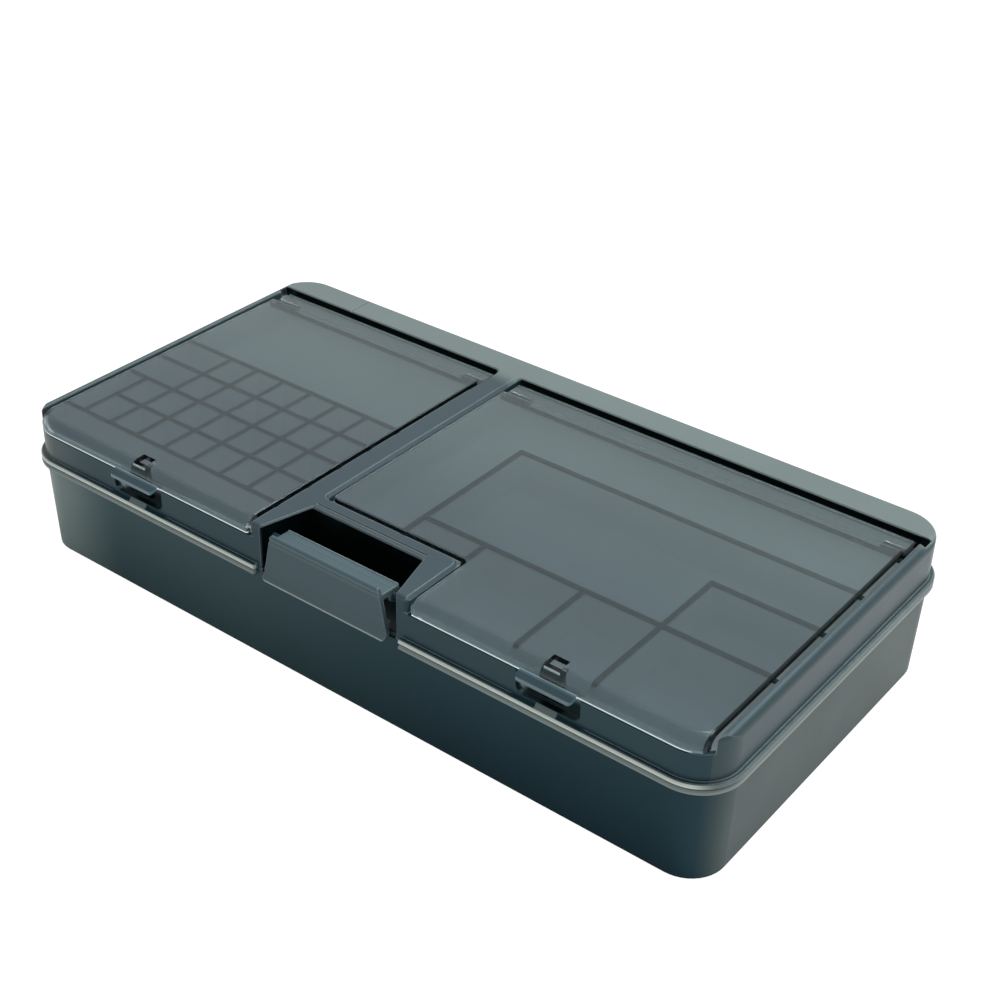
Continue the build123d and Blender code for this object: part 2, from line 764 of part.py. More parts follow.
# Dividers of the right bay; those that meet the front wall are cut back under the lid's rounded lip
divider_height = divider_top - divider_bottom


def cut_front_end(place):
    """Slope off the top of a divider's front end, clear of the lid's rounded lip."""
    with BuildSketch(Plane.YZ.offset(place)) as relief:
        Polygon(
            (bay_front, divider_top),
            (bay_front + divider_end_relief, divider_top),
            (bay_front, divider_top - divider_end_relief),
            align=None,
        )
    extrude(relief.sketch, amount=wall_thickness, both=True, mode=Mode.SUBTRACT)


with BuildPart() as corner_divider:
    with BuildSketch(Plane.XY.offset(divider_bottom)):
        corner_plan(0)
    extrude(amount=divider_height)
corner_divider.part.label = "corner_divider"
export_step(corner_divider.part, "parts/corner_divider.step")

with BuildPart() as long_divider:
    with BuildSketch(Plane.XY.offset(divider_bottom)):
        long_plan(0)
    extrude(amount=divider_height)
    with BuildSketch(Plane.XY.offset(divider_lap - divider_slip / 2)):
        with Locations((angle_wall_x, long_wall_y)):
            Rectangle(2 * slot_half_wall, 2 * wall_thickness)
    extrude(amount=divider_height, mode=Mode.SUBTRACT)
long_divider.part.label = "long_divider"
export_step(long_divider.part, "parts/long_divider.step")

with BuildPart() as short_divider:
    with BuildSketch(Plane.XY.offset(divider_bottom)):
        short_plan(0)
    extrude(amount=divider_height)
short_divider.part.label = "short_divider"
export_step(short_divider.part, "parts/short_divider.step")

with BuildPart() as front_divider:
    with BuildSketch(Plane.XY.offset(divider_bottom)):
        front_plan(0)
    extrude(amount=divider_height)
    cut_front_end(front_wall_x)
front_divider.part.label = "front_divider"
export_step(front_divider.part, "parts/front_divider.step")

with BuildPart() as angle_divider:
    with BuildSketch(Plane.XY.offset(divider_bottom)):
        angle_plan(0)
    extrude(amount=divider_height)
    cut_front_end(angle_wall_x)
    with BuildSketch(Plane.XY.offset(divider_lap + divider_slip / 2)):
        with Locations((angle_wall_x, long_wall_y)):
            Rectangle(2 * wall_thickness, 2 * slot_half_wall)
    extrude(amount=-divider_height, mode=Mode.SUBTRACT)
angle_divider.part.label = "angle_divider"
export_step(angle_divider.part, "parts/angle_divider.step")

# Pins, each with its line across the box, its radius, its start along X and its length
lid_pin_end = right_x - lid_pin_end_wall
lid_pin_length = lid_pin_end - right_lid_right + lid_knuckle_length
centre_pin_start = left_lid_right - lid_knuckle_length
centre_pin_length = right_lid_left + lid_knuckle_length - centre_pin_start
hinge_line = (hinge_axis_y, part_line)
lid_line = (lid_axis_y, lid_axis_z)
latch_line = (latch_axis_y, latch_axis_z)
pins = {
    "left_hinge_pin": (hinge_line, hinge_pin_radius, -hinge_place - hinge_length / 2, hinge_length),
    "right_hinge_pin": (hinge_line, hinge_pin_radius, hinge_place - hinge_length / 2, hinge_length),
    "left_lid_pin": (lid_line, lid_pin_radius, -lid_pin_end, lid_pin_length),
    "centre_lid_pin": (lid_line, lid_pin_radius, centre_pin_start, centre_pin_length),
    "right_lid_pin": (lid_line, lid_pin_radius, lid_pin_end - lid_pin_length, lid_pin_length),
    "latch_pin": (latch_line, latch_pin_radius, -latch_pin_half, 2 * latch_pin_half),
}

for pin_name, (line, radius, start, length) in pins.items():
    with BuildPart() as pin:
        with BuildSketch(Plane.YZ.offset(start)):
            with Locations(line):
                Circle(radius)
        extrude(amount=length)
    pin.part.label = pin_name
    export_step(pin.part, f"parts/{pin_name}.step")
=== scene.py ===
import json
import math

import bmesh
import bpy
from mathutils import Matrix, Vector


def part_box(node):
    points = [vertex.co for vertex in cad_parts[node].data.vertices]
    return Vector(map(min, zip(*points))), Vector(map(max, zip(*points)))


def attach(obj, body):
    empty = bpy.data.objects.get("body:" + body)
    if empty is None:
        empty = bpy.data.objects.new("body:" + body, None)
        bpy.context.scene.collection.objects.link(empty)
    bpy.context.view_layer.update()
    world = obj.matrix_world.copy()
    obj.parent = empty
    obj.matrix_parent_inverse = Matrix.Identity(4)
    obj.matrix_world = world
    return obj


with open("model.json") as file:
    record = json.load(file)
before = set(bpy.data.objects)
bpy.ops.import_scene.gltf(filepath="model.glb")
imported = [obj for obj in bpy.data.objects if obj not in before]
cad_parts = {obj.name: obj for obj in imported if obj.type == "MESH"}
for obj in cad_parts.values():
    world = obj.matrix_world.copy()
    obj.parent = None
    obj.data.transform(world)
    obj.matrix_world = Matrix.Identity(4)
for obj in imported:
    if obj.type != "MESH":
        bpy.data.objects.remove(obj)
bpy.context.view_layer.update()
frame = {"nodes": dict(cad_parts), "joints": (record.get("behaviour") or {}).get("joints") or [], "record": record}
scene = bpy.context.scene
scene.view_settings.view_transform = "Standard"

MM = 0.001

# Camera, worked out from the photograph: where it looks, from where and how far it is tipped
look_at = Vector((0.8, 15.2, 30.0)) * MM
camera_azimuth = math.radians(36.9)
camera_elevation = math.radians(33.07)
camera_roll = math.radians(1.51)
camera_distance = 556.7 * MM
camera_lens = 62.82
camera_sensor = 36.0
camera_near = 10.0 * MM

# Studio floor and surround
floor_size = 12.0
floor_tone = (0.90, 0.90, 0.895, 1.0)
floor_roughness = 0.8
floor_glow_share = 0.8
floor_glow_strength = 1.25
world_tone = (1.0, 1.0, 0.995, 1.0)
world_strength = 0.42

# Places on the box that the finishes follow
tray_low, tray_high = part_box("upper_tray")
box_top = tray_high.z
bead_out = 1.6 * MM
bead_half = 1.85 * MM
box_end = tray_high.x - bead_out
box_front = tray_low.y + bead_out
part_line = next(j for j in frame["joints"] if j["name"] == "tray_hinge")["pos_m"][2]
divider_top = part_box("row_divider_1")[1].z
lid_tab_place = 78.3 * MM
tray_bead_top = part_line + bead_half
bin_bead_bottom = part_line - bead_half
lid_lip_bottom = box_top - 4.8 * MM
lid_front_end = box_front + 4.4 * MM
lid_tab_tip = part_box("left_lid")[0].y
back_rim_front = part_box("left_lid")[1].y + 1.5 * MM
rim_inside = box_end - 3.1 * MM
corner_radius = 12.5 * MM
bar_place = -25.9 * MM
bar_half = 4.3 * MM
block_half = 30.2 * MM
block_back = box_front + 24.1 * MM
recess_half = 26.0 * MM
recess_back = box_front + 18.0 * MM
clasp_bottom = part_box("front_latch")[0].z
clasp_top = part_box("front_latch")[1].z
lid_right_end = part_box("right_lid")[1].x

# How a painted zone ends: it fades over this much to either side
crisp = 0.1 * MM
fine = 0.15 * MM
soft = 0.2 * MM
blurred = 0.5 * MM

# Zones of painted light that the bin and the tray share: the paler left front corner, and the reach of the rim
# bead's painted highlight
left_corner_back = -25.0 * MM
left_corner_spread = 30.0 * MM
bead_inside = corner_radius + 0.4 * MM
bead_outside = corner_radius + bead_out + 0.3 * MM

# Zones of painted light on the lower bin: the paler left half, left front corner and right side, and the bead's
# painted highlight
bin_fade_middle = 2.0 * MM
bin_fade_spread = 55.0 * MM
bin_corner_end = -108.0 * MM
bin_corner_spread = 20.0 * MM
bin_side_start = box_end - 3.0 * MM
bin_side_spread = 2.5 * MM
bin_bead_low = bin_bead_bottom + 0.3 * MM

# Zones of painted light and painted shade on the upper tray
tray_top_low = box_top - 1.2 * MM
tray_corner_end = 16.0 * MM - box_end
tray_corner_spread = 18.0 * MM
tray_corner_top = box_top - 4.0 * MM
tray_corner_fade = 1.0 * MM
tray_side_start = rim_inside - 0.4 * MM
back_rim_start = back_rim_front - 4.0 * MM
back_rim_spread = 4.0 * MM
back_rim_low = box_top - 1.0 * MM
wall_inside = corner_radius - 1.5 * MM
floor_level = part_line + 1.0 * MM
inside_back = back_rim_front + 0.3 * MM
inside_top = box_top - 3.0 * MM
bar_core_half = bar_half - 0.6 * MM
block_core_half = block_half - 0.8 * MM
block_core_back = block_back - 0.8 * MM
recess_top = box_top - 0.6 * MM
gap_half = 0.3 * MM
gap_top = box_top - 0.5 * MM
gap_bottom = box_top - 5.0 * MM
lip_shadow_low = lid_lip_bottom - 0.5 * MM
lip_shadow_top = lid_lip_bottom + 1.0 * MM
lip_shadow_back = box_front + 0.6 * MM
pillar_end = recess_half + 4.4 * MM
tray_bead_high = tray_bead_top - 0.2 * MM
bead_side_start = box_end - 4.0 * MM
bead_side_spread = 3.0 * MM
seam_top = part_line + 0.2 * MM

# Zones of the catch windows: the frame without the painted edge highlight, the painted shade of the hollow, the
# ramp's painted highlight
window_back = box_front + 9.0 * MM
window_back_fade = 2.0 * MM
window_top_fade = 0.3 * MM
window_frame_half = 12.0 * MM
window_frame_fade = 1.0 * MM
window_frame_top = box_top - 4.0 * MM
window_hollow_half = 11.0 * MM
window_hollow_fade = 2.0 * MM
window_hollow_front = box_front + 0.1 * MM
window_hollow_front_fade = 0.05 * MM
window_hollow_top = box_top - 5.5 * MM
catch_ramp_half = 3.6 * MM
catch_ramp_face = box_front - 0.05 * MM
catch_ramp_face_fade = 0.04 * MM

# Zones of painted light and painted shade on the lids
lid_fade_middle = 0.0
lid_fade_spread = 30.0 * MM
lid_border_start = lid_right_end - 0.8 * MM
lid_tongue_half = 3.6 * MM
lid_tongue_front = box_front + 1.3 * MM
lid_sheet_low = box_top - 1.6 * MM
lid_tab_root = box_front - 0.15 * MM
lid_lip_top = lid_lip_bottom + 0.35 * MM
lid_lip_front = box_front - 0.2 * MM
lid_lip_back = box_front + 0.9 * MM
lid_tab_edge_back = lid_tab_tip + 0.25 * MM
lid_tab_edge_share = 0.12
lid_transmission = 0.96
lid_refraction = 1.5

# Zones of painted light on the clasp, and of the dividers' dark crest
clasp_foot_top = clasp_bottom + 0.5 * MM
clasp_flare_top = clasp_bottom + 2.3 * MM
clasp_crest_low = clasp_top - 3.0 * MM
divider_crest_low = divider_top - 0.7 * MM
divider_crest_fade = 0.35 * MM

# Skins at the tray's back corners: where they start from the side wall, how far they turn and
# how deep they sit
skin_start = math.radians(47.0)
skin_sweep = math.radians(16.0)
skin_steps = 6
skin_setback = 0.08 * MM
skin_thickness = 0.8 * MM
skin_overlap = 1.0 * MM
skin_top_depth = 1.7 * MM

# Finish colours, linear; many are painted light, painted shade and painted highlights, not the plastic's own
# colour
bin_tone = (0.004, 0.031, 0.046, 1.0)
bin_left_painted_light = (0.028, 0.068, 0.078, 1.0)
bin_corner_painted_light = (0.230, 0.300, 0.285, 1.0)
bin_side_painted_light = (0.045, 0.070, 0.070, 1.0)
bin_bead_painted_highlight = (0.27, 0.32, 0.305, 1.0)
tray_tone = (0.020, 0.052, 0.066, 1.0)
tray_top_painted_light = (0.060, 0.088, 0.105, 1.0)
inside_painted_light = (0.185, 0.215, 0.225, 1.0)
inside_painted_glow = (0.089, 0.103, 0.108, 1.0)
back_rim_painted_light = (0.19, 0.24, 0.235, 1.0)
tray_side_painted_light = (0.048, 0.074, 0.082, 1.0)
tray_corner_painted_light = (0.130, 0.160, 0.155, 1.0)
tray_bead_painted_highlight = (0.74, 0.81, 0.76, 1.0)
bead_side_painted_highlight = (0.17, 0.20, 0.20, 1.0)
painted_shade_tone = (0.0008, 0.0030, 0.0032, 1.0)
lid_tone = (0.60, 0.71, 0.715, 1.0)
lid_front_painted_shade = (0.445, 0.540, 0.580, 1.0)
lid_side_painted_shade = (0.004, 0.007, 0.008, 1.0)
lid_lip_painted_highlight = (0.336, 0.376, 0.376, 1.0)
lid_tab_tone = (0.012, 0.032, 0.040, 1.0)
lid_tab_painted_glow = (0.026, 0.042, 0.052, 1.0)
clasp_tone = (0.066, 0.106, 0.124, 1.0)
clasp_top_painted_light = (0.087, 0.136, 0.155, 1.0)
clasp_flare_painted_light = (0.105, 0.155, 0.172, 1.0)
clasp_foot_painted_highlight = (0.45, 0.50, 0.50, 1.0)
divider_tone = (0.010, 0.016, 0.020, 1.0)
edge_painted_highlight = (0.16, 0.20, 0.20, 1.0)
bright_painted_highlight = (0.42, 0.49, 0.49, 1.0)
steel_tone = (0.46, 0.47, 0.48, 1.0)
unlit = (0.0, 0.0, 0.0, 1.0)
smoke_sheen = (0.55, 0.85, 0.95, 1.0)
lid_sheen = (0.75, 0.93, 0.95, 1.0)
steel_sheen = (1.0, 1.0, 1.0, 1.0)
glow_strength = 1.0

# Moulding marks: scale and detail of the noise behind flow, cloudy wear, scratches and grain
noise_middle = 0.5
flow_scale = 18.0
flow_detail = 3.0
cloud_scale = 60.0
cloud_detail = 4.0
scratch_stretch = (90.0, 900.0, 300.0)
scratch_turn = (0.0, 0.0, 0.5)
scratch_detail = 4.0
scratch_roughness = 0.6
scratch_from = 0.62
scratch_full = 0.85
grain_scale = 2500.0
grain_detail = 2.0
grain_strength = 0.3

# Edges with a painted highlight: their width, how far the rounded normal has to part from the flat one,
# the noise that breaks the highlight up, and how strongly it shows on each piece
edge_width = 0.5 * MM
edge_samples = 4
edge_from = 0.985
edge_full = 0.86
break_scale = 150.0
break_detail = 3.0
break_from = 0.25
break_full = 0.6
break_share = 0.35
bin_edge_share = 0.35
tray_edge_share = 0.9
clasp_edge_share = 0.7

# Faces count as upright by the upward share of their normal
upright_from = 0.6
upright_full = 0.3


def add_socket(group, name, in_out, kind):
    """A named socket on a node group."""
    group.interface.new_socket(name=name, in_out=in_out, socket_type="NodeSocket" + kind)


def feed(tree, socket, source):
    """Link a socket to a source socket, or set it to a plain value."""
    if isinstance(source, bpy.types.NodeSocket):
        tree.links.new(source, socket)
    else:
        socket.default_value = source


def math_node(tree, operation, first, second=0.0):
    """A Math node on two sockets or numbers."""
    node = tree.nodes.new("ShaderNodeMath")
    node.operation = operation
    feed(tree, node.inputs[0], first)
    feed(tree, node.inputs[1], second)
    return node.outputs[0]


def ramp_node(tree, value, low, high):
    """A value mapped smoothly to 0 at low and 1 at high, held beyond them."""
    node = tree.nodes.new("ShaderNodeMapRange")
    node.interpolation_type = "SMOOTHSTEP"
    feed(tree, node.inputs["Value"], value)
    feed(tree, node.inputs["From Min"], low)
    feed(tree, node.inputs["From Max"], high)
    return node.outputs["Result"]


def mix_node(tree, share, first, second):
    """A blend of two colours."""
    node = tree.nodes.new("ShaderNodeMix")
    node.data_type = "RGBA"
    feed(tree, node.inputs["Factor"], share)
    feed(tree, node.inputs[6], first)
    feed(tree, node.inputs[7], second)
    return node.outputs[2]


def noise_node(tree, coordinates, scale, detail, roughness=0.5):
    """A noise texture on the given coordinates."""
    node = tree.nodes.new("ShaderNodeTexNoise")
    feed(tree, node.inputs["Vector"], coordinates)
    node.inputs["Scale"].default_value = scale
    node.inputs["Detail"].default_value = detail
    node.inputs["Roughness"].default_value = roughness
    return node.outputs["Fac"]


def object_place(tree):
    """Object coordinates."""
    return tree.nodes.new("ShaderNodeTexCoord").outputs["Object"]


def object_axes(tree):
    """Object coordinates as separate X, Y and Z."""
    parts = tree.nodes.new("ShaderNodeSeparateXYZ")
    feed(tree, parts.inputs["Vector"], object_place(tree))
    return parts.outputs


def make_moulding_group():
    """Fine moulded grain, soft flow marks and handling scuffs of an injection-moulded piece."""
    tree = bpy.data.node_groups.new("moulded_plastic", "ShaderNodeTree")
    add_socket(tree, "Tone", "INPUT", "Color")
    add_socket(tree, "Flow", "INPUT", "Float")
    add_socket(tree, "Roughness", "INPUT", "Float")
    add_socket(tree, "Scuffs", "INPUT", "Float")
    add_socket(tree, "Colour", "OUTPUT", "Color")
    add_socket(tree, "Roughness", "OUTPUT", "Float")
    add_socket(tree, "Height", "OUTPUT", "Float")
    inputs = tree.nodes.new("NodeGroupInput").outputs
    outputs = tree.nodes.new("NodeGroupOutput").inputs
    place = object_place(tree)
    # Soft flow marks, lighter and darker by a share of the tone
    flow = noise_node(tree, place, flow_scale, flow_detail)
    flow_swing = math_node(tree, "SUBTRACT", flow, noise_middle)
    flow_shift = math_node(tree, "MULTIPLY", flow_swing, inputs["Flow"])
    shade = tree.nodes.new("ShaderNodeHueSaturation")
    feed(tree, shade.inputs["Value"], math_node(tree, "ADD", flow_shift, 1.0))
    feed(tree, shade.inputs["Color"], inputs["Tone"])
    feed(tree, outputs["Colour"], shade.outputs["Color"])
    # Scuffs: thin stretched noise, kept where it peaks, over broad cloudy patches
    stretch = tree.nodes.new("ShaderNodeMapping")
    stretch.inputs["Scale"].default_value = scratch_stretch
    stretch.inputs["Rotation"].default_value = scratch_turn
    feed(tree, stretch.inputs["Vector"], place)
    stretched = stretch.outputs["Vector"]
    scratch = noise_node(tree, stretched, 1.0, scratch_detail, scratch_roughness)
    scratch_peaks = ramp_node(tree, scratch, scratch_from, scratch_full)
    scuff = math_node(tree, "MULTIPLY", scratch_peaks, inputs["Scuffs"])
    cloud = noise_node(tree, place, cloud_scale, cloud_detail)
    cloud_swing = math_node(tree, "SUBTRACT", cloud, noise_middle)
    cloud_shift = math_node(tree, "MULTIPLY", cloud_swing, inputs["Scuffs"])
    wear = math_node(tree, "ADD", scuff, cloud_shift)
    feed(tree, outputs["Roughness"], math_node(tree, "ADD", inputs["Roughness"], wear))
    # Fine grain for the bump
    feed(tree, outputs["Height"], noise_node(tree, place, grain_scale, grain_detail))
    return tree


def make_edge_group():
    """Mask of the edges of a piece where a painted highlight goes, broken up by noise."""
    tree = bpy.data.node_groups.new("edge_light", "ShaderNodeTree")
    add_socket(tree, "Mask", "OUTPUT", "Float")
    add_socket(tree, "Normal", "OUTPUT", "Vector")
    outputs = tree.nodes.new("NodeGroupOutput").inputs
    rounded = tree.nodes.new("ShaderNodeBevel")
    rounded.samples = edge_samples
    rounded.inputs["Radius"].default_value = edge_width
    flat = tree.nodes.new("ShaderNodeNewGeometry").outputs["Normal"]
    match = tree.nodes.new("ShaderNodeVectorMath")
    match.operation = "DOT_PRODUCT"
    feed(tree, match.inputs[0], rounded.outputs["Normal"])
    feed(tree, match.inputs[1], flat)
    edge = ramp_node(tree, match.outputs["Value"], edge_from, edge_full)
    highlight_break_noise = noise_node(tree, object_place(tree), break_scale, break_detail)
    breaks = ramp_node(tree, highlight_break_noise, break_from, break_full)
    broken = math_node(tree, "MULTIPLY", breaks, break_share)
    kept = math_node(tree, "ADD", broken, 1.0 - break_share)
    feed(tree, outputs["Mask"], math_node(tree, "MULTIPLY", edge, kept))
    feed(tree, outputs["Normal"], rounded.outputs["Normal"])
    return tree


moulding = make_moulding_group()
edge_light = make_edge_group()


class Plastic:
    """A moulded plastic finish: the shared groups on a Principled shader."""

    def __init__(self, name, roughness, flow, scuffs, grain_depth, specular, sheen):
        self.material = bpy.data.materials.new(name)
        self.material.use_nodes = True
        self.tree = self.material.node_tree
        self.shader = self.tree.nodes["Principled BSDF"]
        self.x, self.y, self.z = object_axes(self.tree)
        self.moulded = self.tree.nodes.new("ShaderNodeGroup")
        self.moulded.node_tree = moulding
        self.moulded.inputs["Flow"].default_value = flow
        self.moulded.inputs["Roughness"].default_value = roughness
        self.moulded.inputs["Scuffs"].default_value = scuffs
        self.bump = self.tree.nodes.new("ShaderNodeBump")
        self.bump.inputs["Strength"].default_value = grain_strength
        self.bump.inputs["Distance"].default_value = grain_depth
        feed(self.tree, self.shader.inputs["Base Color"], self.moulded.outputs["Colour"])
        feed(self.tree, self.shader.inputs["Roughness"], self.moulded.outputs["Roughness"])
        feed(self.tree, self.bump.inputs["Height"], self.moulded.outputs["Height"])
        feed(self.tree, self.shader.inputs["Normal"], self.bump.outputs["Normal"])
        self.shader.inputs["Specular IOR Level"].default_value = specular
        self.shader.inputs["Specular Tint"].default_value = sheen

    def layered(self, colour, layers):
        """A colour with others laid over it in turn, each where its mask says."""
        for mask, over in layers:
            colour = mix_node(self.tree, mask, colour, over)
        return colour

    def tone(self, colour, *layers):
        """The colour that the moulding marks vary, and pairs of mask and colour laid over it."""
        feed(self.tree, self.moulded.inputs["Tone"], self.layered(colour, layers))

    def glow(self, colour, *layers):
        """Painted light: emission standing in for light through the piece's own walls and for bright edges, built
        up like its tone.
        """
        feed(self.tree, self.shader.inputs["Emission Color"], self.layered(colour, layers))
        self.shader.inputs["Emission Strength"].default_value = glow_strength
        self.material.cycles.emission_sampling = "NONE"

    def edges(self, share):
        """The mask of the piece's edges at a strength, for a painted highlight. They are also shaded as rounded.
        """
        group = self.tree.nodes.new("ShaderNodeGroup")
        group.node_tree = edge_light
        feed(self.tree, self.bump.inputs["Normal"], group.outputs["Normal"])
        return self.weaker(group.outputs["Mask"], share)

    def reach(self, value):
        """Distance from the middle of the box along an axis."""
        return math_node(self.tree, "ABSOLUTE", value)

    def away(self, value, place):
        """Distance from a place along an axis."""
        return self.reach(math_node(self.tree, "SUBTRACT", value, place))

    def from_core(self):
        """Distance outward from the box's straight-edged core, the same all round its corners."""
        along_x = math_node(self.tree, "SUBTRACT", self.reach(self.x), box_end - corner_radius)
        along_y = math_node(self.tree, "SUBTRACT", self.reach(self.y), -box_front - corner_radius)
        pair = self.tree.nodes.new("ShaderNodeCombineXYZ")
        feed(self.tree, pair.inputs["X"], math_node(self.tree, "MAXIMUM", along_x, 0.0))
        feed(self.tree, pair.inputs["Y"], math_node(self.tree, "MAXIMUM", along_y, 0.0))
        length = self.tree.nodes.new("ShaderNodeVectorMath")
        length.operation = "LENGTH"
        feed(self.tree, length.inputs[0], pair.outputs["Vector"])
        return length.outputs["Value"]

    def above(self, value, level, fade=crisp):
        """Mask of what lies beyond a level."""
        return ramp_node(self.tree, value, level - fade, level + fade)

    def below(self, value, level, fade=crisp):
        """Mask of what lies short of a level."""
        return ramp_node(self.tree, value, level + fade, level - fade)

    def between(self, value, low, high, fade=crisp):
        """Mask of what lies between two levels."""
        return self.all_of(self.above(value, low, fade), self.below(value, high, fade))

    def all_of(self, first, *others):
        """Mask of what all the given masks share."""
        for mask in others:
            first = math_node(self.tree, "MULTIPLY", first, mask)
        return first

    def any_of(self, first, *others):
        """Mask of what any of the given masks holds."""
        for mask in others:
            first = math_node(self.tree, "MAXIMUM", first, mask)
        return first

    def none_of(self, mask):
        """Mask of what a mask leaves out."""
        return math_node(self.tree, "SUBTRACT", 1.0, mask)

    def weaker(self, mask, share):
        """A mask at part of its strength."""
        return math_node(self.tree, "MULTIPLY", mask, share)

    def upright(self):
        """Mask of the faces that stand upright on the piece, whichever way the piece is turned."""
        facing = self.tree.nodes.new("ShaderNodeSeparateXYZ")
        normal = self.tree.nodes.new("ShaderNodeTexCoord").outputs["Normal"]
        feed(self.tree, facing.inputs["Vector"], normal)
        return ramp_node(self.tree, self.reach(facing.outputs["Z"]), upright_from, upright_full)


# Lower bin: dark smoke; painted light makes it paler to the left, in its left front corner and on its right side,
# and painted highlights light its edges and rim bead
smoke_bin = Plastic(
    "smoke_bin", roughness=0.36, flow=0.25, scuffs=0.10,
    grain_depth=0.04 * MM, specular=0.34, sheen=smoke_sheen,
)
bin_left_half = smoke_bin.below(smoke_bin.x, bin_fade_middle, bin_fade_spread)
bin_left_corner = smoke_bin.all_of(
    smoke_bin.below(smoke_bin.x, bin_corner_end, bin_corner_spread),
    smoke_bin.below(smoke_bin.y, left_corner_back, left_corner_spread),
)
bin_right_side = smoke_bin.above(smoke_bin.x, bin_side_start, bin_side_spread)
bin_reach = smoke_bin.from_core()
bin_bead = smoke_bin.all_of(
    smoke_bin.above(smoke_bin.z, bin_bead_low),
    smoke_bin.above(bin_reach, bead_inside, soft),
    smoke_bin.below(bin_reach, bead_outside),
)
smoke_bin.tone(
    bin_tone,
    (bin_left_half, bin_left_painted_light),
    (bin_left_corner, bin_corner_painted_light),
    (bin_right_side, bin_side_painted_light),
    (smoke_bin.edges(bin_edge_share), edge_painted_highlight),
    (bin_bead, bin_bead_painted_highlight),
)

# Upper tray: dark walls; painted light makes the top, sides, left corner, inside and back rim paler, and a painted
# highlight brightens the rim bead
smoke_tray = Plastic(
    "smoke_tray", roughness=0.32, flow=0.25, scuffs=0.10,
    grain_depth=0.03 * MM, specular=0.36, sheen=smoke_sheen,
)
from_tray_middle = smoke_tray.reach(smoke_tray.x)
from_tab = smoke_tray.away(from_tray_middle, lid_tab_place)
tray_reach = smoke_tray.from_core()
tray_top = smoke_tray.above(smoke_tray.z, tray_top_low, soft)
tray_sides = smoke_tray.above(from_tray_middle, tray_side_start, soft)
tray_left_corner = smoke_tray.all_of(
    smoke_tray.below(smoke_tray.x, tray_corner_end, tray_corner_spread),
    smoke_tray.below(smoke_tray.y, left_corner_back, left_corner_spread),
    smoke_tray.below(smoke_tray.z, tray_corner_top, tray_corner_fade),
)
back_rim = smoke_tray.all_of(
    smoke_tray.above(smoke_tray.y, back_rim_start, back_rim_spread),
    smoke_tray.above(smoke_tray.z, back_rim_low, blurred),
)

# Painted edge highlight of the tray, left out round the catch windows
window_frame = smoke_tray.all_of(
    smoke_tray.below(from_tab, window_frame_half, window_frame_fade),
    smoke_tray.below(smoke_tray.y, window_back, window_back_fade),
    smoke_tray.below(smoke_tray.z, window_frame_top, window_top_fade),
)
tray_edges = smoke_tray.all_of(
    smoke_tray.edges(tray_edge_share), smoke_tray.none_of(window_frame)
)

# Inside of the tray's two bays, which takes a pale painted light and a painted glow, without the cores of the bar
# and the recess block
above_floor = smoke_tray.above(smoke_tray.z, floor_level, soft)
within_walls = smoke_tray.all_of(smoke_tray.below(tray_reach, wall_inside, soft), above_floor)
bar_core = smoke_tray.below(smoke_tray.away(smoke_tray.x, bar_place), bar_core_half)
block_core = smoke_tray.all_of(
    smoke_tray.below(from_tray_middle, block_core_half),
    smoke_tray.below(smoke_tray.y, block_core_back),
)
tray_inside = smoke_tray.all_of(
    within_walls,
    smoke_tray.below(smoke_tray.y, inside_back),
    smoke_tray.below(smoke_tray.z, inside_top, blurred),
    smoke_tray.none_of(smoke_tray.any_of(bar_core, block_core)),
)

# Painted shade on the tray: handle recess, catch windows, gaps beside the lids, line under their lip
recess = smoke_tray.all_of(
    smoke_tray.below(from_tray_middle, recess_half),
    smoke_tray.below(smoke_tray.y, recess_back),
    smoke_tray.below(smoke_tray.z, recess_top),
)
window_hollow = smoke_tray.all_of(
    smoke_tray.below(from_tab, window_hollow_half, window_hollow_fade),
    smoke_tray.below(smoke_tray.y, window_back, window_back_fade),
    smoke_tray.above(smoke_tray.y, window_hollow_front, window_hollow_front_fade),
    smoke_tray.below(smoke_tray.z, window_hollow_top, window_top_fade),
)
right_gap = smoke_tray.between(smoke_tray.x, rim_inside - gap_half, rim_inside + gap_half)
back_gap = smoke_tray.between(smoke_tray.y, back_rim_front - gap_half, back_rim_front + gap_half)
gaps = smoke_tray.all_of(
    smoke_tray.any_of(right_gap, back_gap),
    smoke_tray.below(smoke_tray.z, gap_top),
    smoke_tray.above(smoke_tray.z, gap_bottom, blurred),
    within_walls,
)
under_lip = smoke_tray.all_of(
    smoke_tray.between(smoke_tray.z, lip_shadow_low, lip_shadow_top, fine),
    smoke_tray.below(smoke_tray.y, lip_shadow_back),
    smoke_tray.above(from_tray_middle, pillar_end),
)
shaded = smoke_tray.all_of(
    smoke_tray.any_of(recess, window_hollow, gaps, under_lip), above_floor
)

